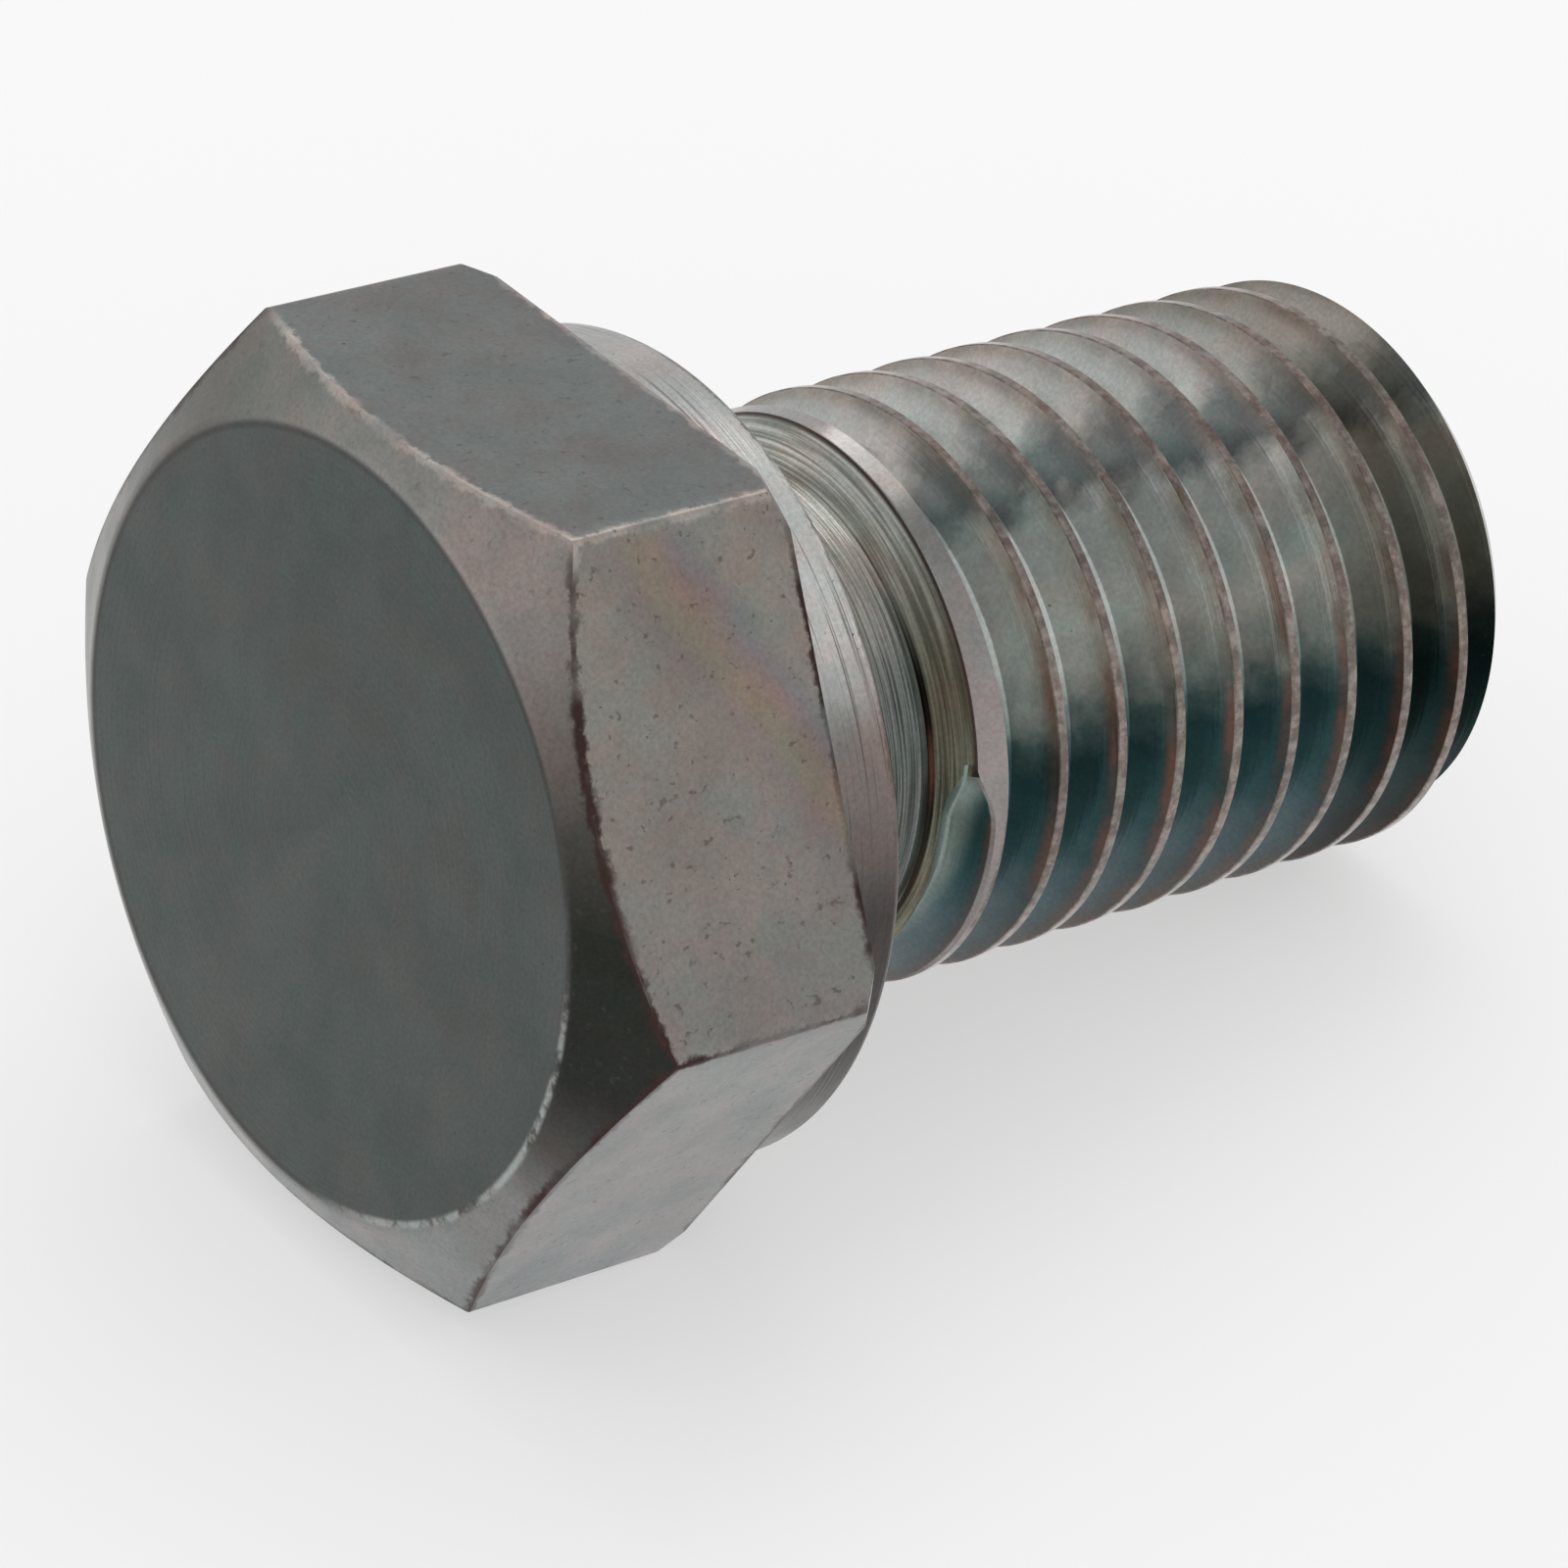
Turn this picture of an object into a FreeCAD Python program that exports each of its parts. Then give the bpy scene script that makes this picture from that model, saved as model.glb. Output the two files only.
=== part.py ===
import FreeCAD, Part
import math
import os

# Oil drain plug: a hexagon head, a round collar that seals on the sump, a turned neck
# and a threaded shank, all one piece of steel. Lengths are in millimetres.
# The plug is drawn along X, from the face of the head at X = 0 to the tip of the shank,
# with one flat of the hexagon on top. It is then laid down as it comes to rest on a table.

# Head
hexagon_sides = 6
across_flats = 17.0
hexagon_height = 5.9
face_diameter = 15.8
face_chamfer_angle = 30.0
face_rim_radius = 0.5
rear_corner_diameter = 18.9
rear_corner_angle = 45.0

# Collar
collar_diameter = 16.6
collar_height = 1.55
collar_edge_chamfer = 0.2

# Shank
shank_length = 18.0
neck_diameter = 10.0
neck_length = 3.25
neck_fillet_radius = 0.35
shoulder_diameter = 11.6
shoulder_cone_length = 0.5
shoulder_land_length = 0.25
shoulder_taper_length = 0.45
tip_diameter = 10.3
tip_chamfer_angle = 45.0

# Thread
thread_diameter = 11.9
thread_pitch = 1.5
thread_depth = 0.9
thread_flank_angle = 60.0
thread_crest_width = 0.19
thread_turns = 10
first_groove_distance = 3.63
first_groove_angle = 75.0

# Clearances by which the cutting shapes reach past the surface that they cut. The thread's
# own is small, so that neighbouring turns of the groove don't meet above the crest.
cut_overrun = 0.5
crest_clearance = 0.1

axis_x = FreeCAD.Vector(1, 0, 0)
axis_y = FreeCAD.Vector(0, 1, 0)
axis_z = FreeCAD.Vector(0, 0, 1)
centre = FreeCAD.Vector(0, 0, 0)

seat_x = hexagon_height + collar_height
tip_x = seat_x + shank_length
flat_radius = across_flats / 2
corner_radius = flat_radius / math.cos(math.pi / hexagon_sides)
thread_radius = thread_diameter / 2
tip_radius = tip_diameter / 2
tip_chamfer_x = tip_x - (thread_radius - tip_radius) * math.tan(math.radians(tip_chamfer_angle))
first_groove_x = seat_x + first_groove_distance


def along(x, radius):
    """A point of a turned outline: its place along the plug and its distance from the axis."""
    return FreeCAD.Vector(x, 0, radius)


def turned(edges):
    """The solid that an outline makes when it is turned once about the plug's axis."""
    outline = Part.Wire(edges)
    return Part.Face(outline).revolve(centre, axis_x, 360)


def rounded_corner(before, corner, after, radius):
    """The arc that rounds a corner, with the points where it leaves the two straight lines."""
    back = (before - corner).normalize()
    onward = (after - corner).normalize()
    half_angle = back.getAngle(onward) / 2
    reach = radius / math.tan(half_angle)
    start = corner + back * reach
    end = corner + onward * reach
    bisector = (back + onward).normalize()
    middle = corner + bisector * (radius / math.sin(half_angle) - radius)
    return start, Part.Arc(start, middle, end).toShape(), end


def line(start, end):
    """A straight edge of an outline."""
    return Part.makeLine(start, end)


def hexagon_head():
    """The hexagon bar, turned to a cone at the face and trimmed at its rear corners."""
    corners = []
    for corner in range(hexagon_sides + 1):
        angle = 2 * math.pi * corner / hexagon_sides
        corners.append(FreeCAD.Vector(0, corner_radius * math.cos(angle), corner_radius * math.sin(angle)))
    bar = Part.Face(Part.makePolygon(corners)).extrude(axis_x * hexagon_height)

    outside = corner_radius + cut_overrun
    cone_depth = (outside - face_diameter / 2) * math.tan(math.radians(face_chamfer_angle))
    trim_depth = (outside - rear_corner_diameter / 2) * math.tan(math.radians(rear_corner_angle))
    face_middle = along(0, 0)
    face_rim = along(0, face_diameter / 2)
    cone_end = along(cone_depth, outside)
    trim_start = along(hexagon_height - trim_depth, outside)
    trim_end = along(hexagon_height, rear_corner_diameter / 2)
    rear_middle = along(hexagon_height, 0)
    rim_start, rim_arc, rim_end = rounded_corner(face_middle, face_rim, cone_end, face_rim_radius)
    envelope = turned([
        line(face_middle, rim_start),
        rim_arc,
        line(rim_end, cone_end),
        line(cone_end, trim_start),
        line(trim_start, trim_end),
        line(trim_end, rear_middle),
        line(rear_middle, face_middle),
    ])
    return bar.common(envelope)


def collar_and_shank():
    """The collar, its seat face, the neck and the blank that the thread is cut in."""
    collar_radius = collar_diameter / 2
    neck_radius = neck_diameter / 2
    shoulder_radius = shoulder_diameter / 2
    neck_end = seat_x + neck_length
    cone_end = neck_end + shoulder_cone_length
    land_end = cone_end + shoulder_land_length
    taper_end = land_end + shoulder_taper_length

    start_middle = along(hexagon_height, 0)
    collar_start = along(hexagon_height, collar_radius)
    chamfer_start = along(seat_x - collar_edge_chamfer, collar_radius)
    seat_rim = along(seat_x, collar_radius - collar_edge_chamfer)
    seat_inside = along(seat_x, neck_radius)
    neck_rear = along(neck_end, neck_radius)
    shoulder_front = along(cone_end, shoulder_radius)
    shoulder_rear = along(land_end, shoulder_radius)
    full_thread = along(taper_end, thread_radius)
    tip_chamfer = along(tip_chamfer_x, thread_radius)
    tip_rim = along(tip_x, tip_radius)
    tip_middle = along(tip_x, 0)
    fillet_start, fillet_arc, fillet_end = rounded_corner(seat_rim, seat_inside, neck_rear, neck_fillet_radius)
    return turned([
        line(start_middle, collar_start),
        line(collar_start, chamfer_start),
        line(chamfer_start, seat_rim),
        line(seat_rim, fillet_start),
        fillet_arc,
        line(fillet_end, neck_rear),
        line(neck_rear, shoulder_front),
        line(shoulder_front, shoulder_rear),
        line(shoulder_rear, full_thread),
        line(full_thread, tip_chamfer),
        line(tip_chamfer, tip_rim),
        line(tip_rim, tip_middle),
        line(tip_middle, start_middle),
    ])


def groove_turn():
    """One turn of the thread's groove: a straight-sided V with a flat root, swept along a
    right-hand helix. It starts on the first groove's angle, measured from the top flat."""
    root_radius = thread_radius - thread_depth
    outer_radius = thread_radius + crest_clearance
    flank_slope = math.tan(math.radians(thread_flank_angle / 2))
    crest_half = (thread_pitch - thread_crest_width) / 2
    root_half = crest_half - thread_depth * flank_slope
    outer_half = crest_half + crest_clearance * flank_slope
    section = Part.makePolygon([
        FreeCAD.Vector(root_radius, 0, -root_half),
        FreeCAD.Vector(root_radius, 0, root_half),
        FreeCAD.Vector(outer_radius, 0, outer_half),
        FreeCAD.Vector(outer_radius, 0, -outer_half),
        FreeCAD.Vector(root_radius, 0, -root_half),
    ])
    helix = Part.makeHelix(thread_pitch, thread_pitch, root_radius)
    sweep = Part.BRepOffsetAPI.MakePipeShell(Part.Wire(helix.Edges))
    sweep.setBiNormalMode(axis_z)
    sweep.add(section, False, False)
    sweep.build()
    sweep.makeSolid()
    groove = sweep.shape()
    groove.rotate(centre, axis_y, 90)
    groove.rotate(centre, axis_x, 180 + first_groove_angle)
    return groove


def threaded(blank):
    """The blank with the groove cut turn by turn, from the shoulder until it runs out at the tip."""
    groove = groove_turn()
    for turn in range(thread_turns):
        piece = groove.copy()
        piece.translate(axis_x * (first_groove_x + thread_pitch * turn))
        blank = blank.cut(piece)
    return blank


def last_crest_below():
    """Where the last full crest before the tip's chamfer crosses the underside."""
    turns_to_underside = (180 - first_groove_angle) / 360
    first_crest = first_groove_x + thread_pitch * (turns_to_underside + 0.5)
    last_start = tip_chamfer_x - thread_crest_width / 2
    crests = math.floor((last_start - first_crest) / thread_pitch)
    return first_crest + thread_pitch * crests + thread_crest_width / 2


def laid_at_rest(plug):
    """The plug on its side: the hexagon's rear lower edge and the last crest touch the table."""
    rest_angle = math.degrees(math.atan2(flat_radius - thread_radius, last_crest_below() - hexagon_height))
    plug.rotate(centre, axis_y, rest_angle)
    box = plug.optimalBoundingBox(False)
    plug.translate(FreeCAD.Vector(-box.Center.x, -box.Center.y, -box.ZMin))
    return plug, rest_angle


blank = hexagon_head().fuse(collar_and_shank()).removeSplitter()
cut_blank = threaded(blank)
drain_plug, rest_angle = laid_at_rest(cut_blank.Solids[0])

print("solids", len(cut_blank.Solids), "valid", drain_plug.isValid(), "volume mm3", round(drain_plug.Volume, 2))
print("faces", len(drain_plug.Faces), "rest angle", round(rest_angle, 3))
print("box", drain_plug.optimalBoundingBox(False))

os.makedirs("parts", exist_ok=True)
drain_plug.exportStep("parts/drain_plug.step")
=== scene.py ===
# %% [markdown]
# An oil drain plug. It closes the hole at the bottom of an engine's oil sump. The real one is
# turned and threaded from one bar of steel and then plated with zinc, so it is one piece here too.
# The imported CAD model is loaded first, because it says where the plug lies and how large it is.

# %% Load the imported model
import bpy
import bmesh
import math
from mathutils import Matrix, Vector


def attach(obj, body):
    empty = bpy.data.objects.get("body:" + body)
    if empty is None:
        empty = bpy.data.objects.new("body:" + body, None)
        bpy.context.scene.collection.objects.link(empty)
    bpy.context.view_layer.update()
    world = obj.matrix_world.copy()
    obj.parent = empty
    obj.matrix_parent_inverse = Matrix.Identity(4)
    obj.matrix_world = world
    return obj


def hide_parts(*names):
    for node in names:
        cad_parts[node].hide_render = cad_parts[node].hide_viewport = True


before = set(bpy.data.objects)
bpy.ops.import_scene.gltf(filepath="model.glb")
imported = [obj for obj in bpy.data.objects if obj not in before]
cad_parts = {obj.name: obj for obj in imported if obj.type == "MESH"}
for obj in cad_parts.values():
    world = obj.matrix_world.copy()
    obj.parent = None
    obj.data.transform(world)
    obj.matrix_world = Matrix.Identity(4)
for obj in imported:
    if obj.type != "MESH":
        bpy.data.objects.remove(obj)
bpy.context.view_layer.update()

# %% [markdown]
# The plug is modelled along X, from the face of its head at zero to the tip of its shank, and with
# one flat of the hexagon on top. That is how it would sit in a lathe, and it keeps every size
# easy to read. The sizes are in millimetres. At the end it is scaled to metres, turned and moved
# to where the CAD model lies.

# %% Sizes of the plug, in millimetres
across_flats = 17.0
hexagon_height = 5.9
face_radius = 7.9
face_chamfer_angle = math.radians(30)
rear_corner_radius = 9.45
collar_radius = 8.3
seat_x = 7.45
neck_radius = 5.0
neck_end_x = 10.6
shoulder_x = 11.35
shoulder_radius = 5.75
crest_radius = 5.95
tip_radius = 5.15
tip_x = 25.45
corner_radius = across_flats / 2 / math.cos(math.pi / 6)
print("corner radius in mm", round(corner_radius, 3), "whole length in mm", tip_x)

# %% [markdown]
# A turned part is an outline that goes once round an axis. The outline is drawn the way it is
# done by hand: one vertex is extruded from point to point. Each corner that a tool or
# wear has rounded is replaced by a short arc first.

# %% Draw an outline and turn it
turning_steps = 256
merge_distance = 0.0005


def at(x, radius):
    """A point of an outline, above the axis."""
    return Vector((x, 0, radius))


def rounded(before, corner, after, radius, pieces=5):
    """Points of the arc that rounds a corner."""
    back = (before - corner).normalized()
    onward = (after - corner).normalized()
    half = back.angle(onward) / 2
    centre = corner + (back + onward).normalized() * (radius / math.sin(half))
    start = corner + back * (radius / math.tan(half)) - centre
    end = corner + onward * (radius / math.tan(half)) - centre
    return [centre + start.slerp(end, step / pieces).normalized() * radius for step in range(pieces + 1)]


def draw_outline(name, points, closed=False):
    """An edge-only mesh through the points, extruded one after the other."""
    bpy.ops.object.select_all(action='DESELECT')
    bpy.ops.mesh.primitive_plane_add(size=1)
    outline = bpy.context.object
    outline.name = name
    bpy.ops.object.mode_set(mode='EDIT')
    bpy.ops.mesh.select_mode(type='VERT')
    bpy.ops.mesh.select_all(action='SELECT')
    bpy.ops.mesh.merge(type='CENTER')
    bpy.ops.transform.translate(value=points[0])
    for before, after in zip(points, points[1:]):
        bpy.ops.mesh.extrude_vertices_move(TRANSFORM_OT_translate={"value": after - before})
    if closed:
        bpy.ops.mesh.extrude_vertices_move(TRANSFORM_OT_translate={"value": points[0] - points[-1]})
        bpy.ops.mesh.select_all(action='SELECT')
        bpy.ops.mesh.remove_doubles(threshold=merge_distance)
    bpy.ops.object.mode_set(mode='OBJECT')
    return outline


def turn_outline(name, points):
    """The closed solid that an outline makes round the plug's axis."""
    piece = draw_outline(name, points)
    bpy.ops.object.mode_set(mode='EDIT')
    bpy.ops.mesh.select_all(action='SELECT')
    bpy.ops.mesh.spin(steps=turning_steps, angle=math.tau, center=(0, 0, 0), axis=(1, 0, 0))
    bpy.ops.mesh.select_all(action='SELECT')
    bpy.ops.mesh.remove_doubles(threshold=merge_distance)
    bpy.ops.mesh.normals_make_consistent(inside=False)
    bpy.ops.object.mode_set(mode='OBJECT')
    print(name, "turned from", len(points), "points")
    return piece


# %% [markdown]
# Boolean modifiers then trim and join the pieces, as the tools on the lathe would. They are
# applied at once, so that the plug ends as one closed mesh.

# %% Combine two pieces
def combine(piece, tool, operation):
    """Applies a Boolean modifier to the piece and deletes the tool."""
    bpy.ops.object.select_all(action='DESELECT')
    piece.select_set(True)
    bpy.context.view_layer.objects.active = piece
    modifier = piece.modifiers.new(operation.title(), 'BOOLEAN')
    modifier.operation = operation
    modifier.solver = 'MANIFOLD'
    modifier.object = tool
    bpy.ops.object.modifier_apply(modifier=modifier.name)
    bpy.data.objects.remove(tool)
    print(piece.name, operation.lower(), len(piece.data.polygons), "faces")


# %% [markdown]
# The head starts as a length of hexagon bar. Its long edges are slightly rounded, as drawn bar
# is. On the lathe its front is faced and its front corners are turned away to a cone, which
# leaves the curved line where each flat meets the cone. So the bar is intersected with a turned solid.

# %% The hexagon bar
bar_edge_round = 0.1
bpy.ops.object.select_all(action='DESELECT')
bpy.ops.mesh.primitive_cylinder_add(
    vertices=6, radius=corner_radius, depth=hexagon_height,
    location=(hexagon_height / 2, 0, 0), rotation=(0, math.pi / 2, 0))
plug = bpy.context.object
plug.name = "drain_plug_finished"
bpy.ops.object.transform_apply(location=True, rotation=True, scale=True)
bpy.ops.object.mode_set(mode='EDIT')
bpy.ops.mesh.select_all(action='DESELECT')
bar = bmesh.from_edit_mesh(plug.data)
for edge in bar.edges:
    run = edge.verts[1].co - edge.verts[0].co
    if abs(run.x) > hexagon_height / 2:
        edge.select_set(True)
print("long edges to round", sum(edge.select for edge in bar.edges))
bmesh.update_edit_mesh(plug.data)
bpy.ops.mesh.bevel(offset=bar_edge_round, segments=4, affect='EDGES')
bpy.ops.object.mode_set(mode='OBJECT')

# %% Turn the head's face and its rear corners
cut_overrun = 0.5
face_rim_round = 0.5
outside = corner_radius + cut_overrun
cone_end_x = (outside - face_radius) * math.tan(face_chamfer_angle)
trim_x = hexagon_height - (outside - rear_corner_radius)
turned_head = turn_outline("turned_head", [
    at(0, 0),
    *rounded(at(0, 0), at(0, face_radius), at(cone_end_x, outside), face_rim_round, 8),
    at(cone_end_x, outside),
    at(trim_x, outside),
    at(hexagon_height, rear_corner_radius),
    at(hexagon_height, 0),
])
combine(plug, turned_head, 'INTERSECT')

# %% [markdown]
# The collar, neck and shank are one turned outline. The neck is the run-out that a
# threading tool needs beside the seat. The shoulder after it rises to the thread's crest.

# %% The collar, the neck and the blank for the thread
inside_head_x = 3
collar_round = 0.25
neck_fillet = 0.35
ridge_height = 0.08
ridge_width = 0.1
shoulder_round = 0.15
taper_aim_x = 12
full_thread_x = 11.9
tip_chamfer = 0.8
chamfer_start_round = 0.1
chamfer_end_round = 0.15
cone_x = neck_end_x + ridge_width
inside_head = at(inside_head_x, collar_radius)
seat_rim = at(seat_x, collar_radius)
seat_inside = at(seat_x, neck_radius)
neck_end = at(neck_end_x, neck_radius)
cone_start = at(cone_x, neck_radius)
shoulder = at(shoulder_x, shoulder_radius)
taper_aim = at(taper_aim_x, crest_radius)
chamfer_start = at(tip_x - tip_chamfer, crest_radius)
chamfer_end = at(tip_x, tip_radius)
shank = turn_outline("shank", [
    at(inside_head_x, 0),
    inside_head,
    *rounded(inside_head, seat_rim, seat_inside, collar_round),
    *rounded(seat_rim, seat_inside, neck_end, neck_fillet),
    neck_end,
    at(neck_end_x + ridge_width / 2, neck_radius + ridge_height),
    cone_start,
    *rounded(cone_start, shoulder, taper_aim, shoulder_round),
    at(full_thread_x, crest_radius),
    *rounded(taper_aim, chamfer_start, chamfer_end, chamfer_start_round),
    *rounded(chamfer_start, chamfer_end, at(tip_x, 0), chamfer_end_round),
    at(tip_x, 0),
])

# %% [markdown]
# The thread is one groove on a right-hand helix. A V-shaped section is drawn above the axis
# and the Screw modifier carries it round and along by one pitch a turn, which makes a coil. Its
# first end is lifted softly, as the threading tool came in, and the last one runs out at the tip.
# The coil is turned to where the groove starts on the real plug, and cut out of the blank.

# %% The groove of the thread
pitch = 1.5
thread_depth = 0.9
crest_width = 0.19
half_flank_angle = math.radians(30)
crest_x_on_top = 23.516
turns_before_it = 9
groove_start_angle = math.radians(75)
groove_start_turn = groove_start_angle / math.tau + 0.5
groove_x = crest_x_on_top + pitch * (groove_start_turn - turns_before_it)
groove_half = (pitch - crest_width) / 2
root_half = groove_half - thread_depth * math.tan(half_flank_angle)
root_round = 0.08
above = 0.12
above_half = groove_half + above * math.tan(half_flank_angle)
root_radius = crest_radius - thread_depth
root_left = at(groove_x - root_half, root_radius)
root_right = at(groove_x + root_half, root_radius)
top_left = at(groove_x - above_half, crest_radius + above)
top_right = at(groove_x + above_half, crest_radius + above)
groove = draw_outline("groove", [
    top_left,
    *rounded(top_left, root_left, root_right, root_round, 3),
    *rounded(root_left, root_right, top_right, root_round, 3),
    top_right,
], closed=True)
screw_turns = turns_before_it + 2
screw = groove.modifiers.new("Helix", 'SCREW')
screw.axis = 'X'
screw.angle = math.tau
screw.screw_offset = pitch
screw.iterations = screw_turns
screw.steps = 128
screw.render_steps = 128
bpy.ops.object.modifier_apply(modifier=screw.name)
print("coil of", screw_turns, "turns,", len(groove.data.vertices), "vertices")

# %% Close the coil and lift its first end
groove_lift = 0.5
groove_lift_reach = 1.3
end_reach = 0.001
bpy.ops.object.mode_set(mode='EDIT')
bpy.ops.mesh.select_mode(type='VERT')
bpy.ops.mesh.select_all(action='SELECT')
bpy.ops.mesh.fill_holes(sides=0)
bpy.ops.mesh.select_all(action='SELECT')
bpy.ops.mesh.normals_make_consistent(inside=False)
bpy.ops.mesh.select_all(action='DESELECT')
coil = bmesh.from_edit_mesh(groove.data)
for vertex in coil.verts:
    on_first_end = vertex.co.z > 0 and vertex.co.x < groove_x + above_half + end_reach
    if on_first_end and abs(vertex.co.y) < end_reach:
        vertex.select_set(True)
bmesh.update_edit_mesh(groove.data)
bpy.ops.transform.translate(
    value=(0, 0, groove_lift), use_proportional_edit=True, proportional_edit_falloff='SMOOTH',
    proportional_size=groove_lift_reach, use_proportional_connected=True)
bpy.ops.object.mode_set(mode='OBJECT')
groove.rotation_euler = (groove_start_angle, 0, 0)
bpy.ops.object.transform_apply(location=True, rotation=True, scale=True)
print("groove", len(groove.data.polygons), "faces")
combine(shank, groove, 'DIFFERENCE')
combine(plug, shank, 'UNION')

# %% [markdown]
# The finished plug is laid where the CAD model lies: it rests on the rear edge of the hexagon
# and on the crest of the thread near the tip. Its place is applied to its mesh.

# %% Lay the plug on the table
mm = 0.001
rest_angle = math.radians(7.8638)
head_centre = Vector((-12.4240, 0, 9.2274))
laid_down = Matrix.Scale(mm, 4) @ Matrix.Translation(head_centre) @ Matrix.Rotation(rest_angle, 4, 'Y')
plug.matrix_world = laid_down
bpy.ops.object.select_all(action='DESELECT')
plug.select_set(True)
bpy.context.view_layer.objects.active = plug
bpy.ops.object.transform_apply(location=True, rotation=True, scale=True)
bpy.ops.object.shade_smooth_by_angle(angle=math.radians(25))
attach(plug, "root")
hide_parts("drain_plug")
plug.data.materials.clear()
lowest = min(vertex.co.z for vertex in plug.data.vertices)
triangles = sum(len(face.vertices) - 2 for face in plug.data.polygons)
print("lowest point in mm", round(lowest / mm, 4), "triangles", triangles)

# %% [markdown]
# The real plug isn't painted: all its colour comes from thin zinc plating, from the marks that the
# tools left under it, and from wear and old oil on it. Each of these is a small node group with
# named inputs, so that it can be tuned and used again. The regions' colours further down also hold
# painted light, shade and reflections. Two helpers keep the groups short.

# %% Helpers for nodes
def srgb(red, green, blue):
    """A colour written as it looks on a screen, 0 to 255, as the renderer needs it."""
    linear = []
    for value in (red, green, blue):
        share = value / 255
        linear.append(share / 12.92 if share < 0.04045 else ((share + 0.055) / 1.055) ** 2.4)
    return (*linear, 1)


def feed(made, inputs):
    """Fills a node's inputs, each with a plain value or with the socket that feeds it."""
    for socket, value in inputs.items():
        if isinstance(value, bpy.types.NodeSocket):
            made.id_data.links.new(value, made.inputs[socket])
        else:
            made.inputs[socket].default_value = value


def node(tree, kind, inputs=None, **settings):
    """A node with its settings and its inputs."""
    made = tree.nodes.new("ShaderNode" + kind)
    for setting, value in settings.items():
        setattr(made, setting, value)
    feed(made, inputs or {})
    return made


def calculate(tree, operation, first, second=0.0):
    """One Math node's result."""
    return node(tree, "Math", {0: first, 1: second}, operation=operation).outputs[0]


def smooth(tree, value, start, end, low=0.0, high=1.0):
    """A soft step: low before the start, high after the end."""
    sockets = {"Value": value, "From Min": start, "From Max": end, "To Min": low, "To Max": high}
    return node(tree, "MapRange", sockets, interpolation_type='SMOOTHSTEP').outputs[0]


def apart(tree, first, second):
    """How far two values are apart."""
    return calculate(tree, 'ABSOLUTE', calculate(tree, 'SUBTRACT', first, second))


def blend(tree, factor, first, second, mode='MIX'):
    """Two colours mixed by a factor."""
    sockets = {0: factor, 6: first, 7: second}
    return node(tree, "Mix", sockets, data_type='RGBA', blend_type=mode).outputs[2]


def noise(tree, place, size, detail=3.0, roughness=0.5):
    """Noise between 0 and 1, whose patches are about as large as the size in millimetres."""
    sockets = {"Vector": place, "Scale": 1 / size, "Detail": detail, "Roughness": roughness}
    return node(tree, "TexNoise", sockets).outputs["Fac"]


def each_axis(tree, operation, first, second):
    """A Vector Math node's result, such as a place moved or scaled unevenly."""
    return node(tree, "VectorMath", {0: first, 1: second}, operation=operation).outputs[0]


def new_group(name, inputs, outputs):
    """An empty node group with named sockets, given as name, kind and value."""
    group = bpy.data.node_groups.new(name, 'ShaderNodeTree')
    for socket_name, kind, value in inputs:
        socket = group.interface.new_socket(
            name=socket_name, in_out='INPUT', socket_type="NodeSocket" + kind)
        if kind != 'Vector':
            socket.default_value = value
    for socket_name, kind in outputs:
        group.interface.new_socket(name=socket_name, in_out='OUTPUT', socket_type="NodeSocket" + kind)
    given = group.nodes.new("NodeGroupInput").outputs
    result = group.nodes.new("NodeGroupOutput").inputs
    return group, given, result


def use_group(tree, group, inputs):
    """A group placed in a material or in another group."""
    placed = node(tree, "Group", node_tree=group)
    feed(placed, inputs)
    return placed.outputs


print("mid grey 128 is", round(srgb(128, 128, 128)[0], 3), "as the renderer counts it")

# %% [markdown]
# Tool marks and wear follow the plug, not the table. This group turns a place in the scene
# back into the lathe's own terms, in millimetres: along the plug, away from its axis, and round it,
# where 0.5 faces the viewer's side and 0.75 is the top.

# %% A place on the lathe
lathe, given, result = new_group(
    "lathe_place", [("Object", 'Vector', None)],
    [("Place", 'Vector'), ("Along", 'Float'), ("Radius", 'Float'), ("Turn", 'Float')])
mapping = node(lathe, "Mapping", {
    "Vector": given["Object"],
    "Location": head_centre * mm,
    "Rotation": (0, rest_angle, 0),
    "Scale": (mm, mm, mm)}, vector_type='TEXTURE')
split = node(lathe, "SeparateXYZ", {0: mapping.outputs[0]}).outputs
across_plug = node(lathe, "CombineXYZ", {"Y": split["Y"], "Z": split["Z"]}).outputs[0]
from_axis = node(lathe, "VectorMath", {0: across_plug}, operation='LENGTH').outputs["Value"]
toward_viewer = calculate(lathe, 'MULTIPLY', split["Y"], -1.0)
angle = calculate(lathe, 'ARCTAN2', split["Z"], toward_viewer)
turn = calculate(lathe, 'ADD', calculate(lathe, 'DIVIDE', angle, math.tau), 0.5)
lathe.links.new(mapping.outputs[0], result["Place"])
lathe.links.new(split["X"], result["Along"])
lathe.links.new(from_axis, result["Radius"])
lathe.links.new(turn, result["Turn"])
print("lathe_place has", len(lathe.nodes), "nodes")

# %% [markdown]
# Turning leaves fine rings. They are noise that changes fast across the rings and slowly round
# the plug, so single lines start and end as on a real turned surface.

# %% Turning lines
lines_round_plug = 9.0
turning, given, result = new_group(
    "turning_lines",
    [("Across", 'Float', 0.0), ("Turn", 'Float', 0.0), ("Spacing", 'Float', 0.08)],
    [("Lines", 'Float')])
rings = calculate(turning, 'DIVIDE', given["Across"], given["Spacing"])
round_it = calculate(turning, 'MULTIPLY', given["Turn"], lines_round_plug)
ring_place = node(turning, "CombineXYZ", {"X": rings, "Y": round_it}).outputs[0]
turning.links.new(noise(turning, ring_place, 1.0, 2.0), result["Lines"])
print("turning_lines has", len(turning.nodes), "nodes")

# %% [markdown]
# Old plating has soft cloudy patches, some warmer and some cooler, tiny dark specks where the
# zinc has gone, and short dark dashes from handling. The group takes a clean colour and gives back the
# aged one, with the roughness and the height that belong to it.

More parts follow.
